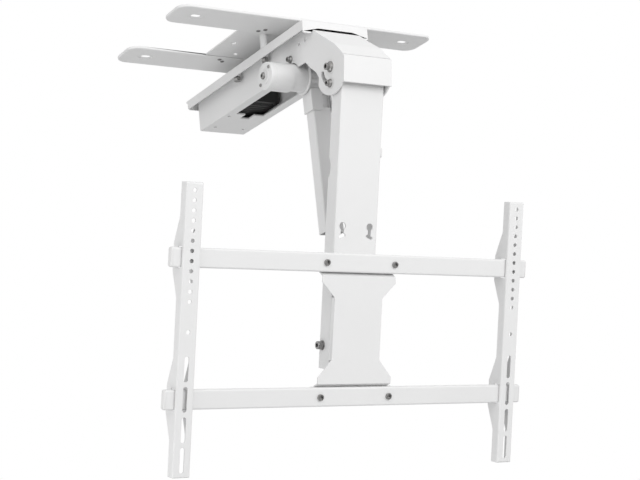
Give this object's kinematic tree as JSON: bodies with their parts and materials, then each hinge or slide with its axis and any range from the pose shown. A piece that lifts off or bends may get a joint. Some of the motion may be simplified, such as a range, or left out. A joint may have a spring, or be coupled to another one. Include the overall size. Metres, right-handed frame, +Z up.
{
  "type": "motorized tv ceiling mount",
  "caption": "Flip-down ceiling bracket for a television: two ceiling strips, a drive channel with a linear actuator, a folding post and a slotted screen frame.",
  "frame": {"origin": "on the ceiling plane, midway between the two ceiling strips", "axes": "+Z up to the ceiling, +X to the right along the strips, +Y to the back, the way the screen folds up"},
  "size_m": [0.662, 0.521, 0.7538],
  "materials": {
    "white_steel": "satin powder coat",
    "zinc": "zinc plated",
    "black_plastic": "fine moulded texture",
    "white_plastic": "moulded satin",
    "motor_grey": "satin paint",
    "bearing_plastic": "self-lubricating polymer",
    "board_green": "solder mask",
    "ground_steel": "ground and polished"
  },
  "bodies": {
    "ceiling_frame": {"front_wing": "white_steel", "rear_wing": "white_steel", "centre_plate": "white_steel", "wing_screws": "zinc", "standoffs": "white_steel", "tray": "white_steel", "tray_bolts": "zinc", "channel": "white_steel", "hood_cover": "white_steel", "hanger_bracket": "white_steel", "cross_bolt": "zinc", "cross_nut": "zinc", "control_box_base": "black_plastic", "control_box_cover": "black_plastic", "circuit_board": "board_green", "power_inlet": "black_plastic", "pivot_bolts": "zinc", "pivot_nuts": "zinc"},
    "post_arm": {"pivot_bushes": "bearing_plastic", "post": "white_steel", "guide_bolts": "zinc", "guide_nuts": "zinc", "post_spacers": "white_steel", "vesa_plate": "white_steel", "crossbar_upper": "white_steel", "crossbar_lower": "white_steel", "bar_end_caps": "white_plastic", "bar_screws": "zinc", "rod_pin_bolts": "zinc", "post_side_clip": "white_plastic"},
    "left_rail": {"upright_left": "white_steel"},
    "right_rail": {"upright_right": "white_steel"},
    "actuator": {"motor_case": "motor_grey", "motor_end_cap": "motor_grey", "motor_screws": "zinc", "gear_housing": "motor_grey", "gear_collar": "white_steel", "trunnion_pin": "zinc", "rail": "white_steel", "rail_bush": "black_plastic", "screw_bearing": "zinc"},
    "drive_screw": {"lead_screw": "ground_steel"},
    "push_rod": {"drive_nut": "black_plastic", "rod": "ground_steel", "rod_eye": "zinc", "rod_pin": "zinc"}
  },
  "joints": [
    {"name": "fold", "type": "hinge", "parent": "ceiling_frame", "child": "post_arm", "pos_m": [0, -0.246, -0.126], "axis": [1, 0, 0], "range_deg": [0, 74.6]},
    {"name": "left_rail_slide", "type": "slide", "parent": "post_arm", "child": "left_rail", "axis": [-1, 0, 0], "range_m": [-0.2, 0.012]},
    {"name": "right_rail_slide", "type": "slide", "parent": "post_arm", "child": "right_rail", "axis": [1, 0, 0], "range_m": [-0.2, 0.012]},
    {"name": "drive_swing", "type": "hinge", "parent": "ceiling_frame", "child": "actuator", "pos_m": [0, -0.125, -0.1035], "axis": [1, 0, 0], "range_deg": [0, 85.99]},
    {"name": "rod_stroke", "type": "slide", "parent": "actuator", "child": "push_rod", "axis": [0, -0.0266, -0.9996], "range_m": [-0.12881, 0]},
    {"name": "screw_turn", "type": "hinge", "parent": "actuator", "child": "drive_screw", "pos_m": [0, -0.125, -0.1035], "axis": [0, -0.0266, -0.9996], "range_deg": [-9269.7, 0]}
  ],
  "couplings": [
    {"joint": "drive_swing", "follows": "fold", "ratio": 1.152},
    {"joint": "rod_stroke", "follows": "fold", "m_per_rad": -0.098776},
    {"joint": "screw_turn", "follows": "fold", "ratio": -124.13}
  ]
}
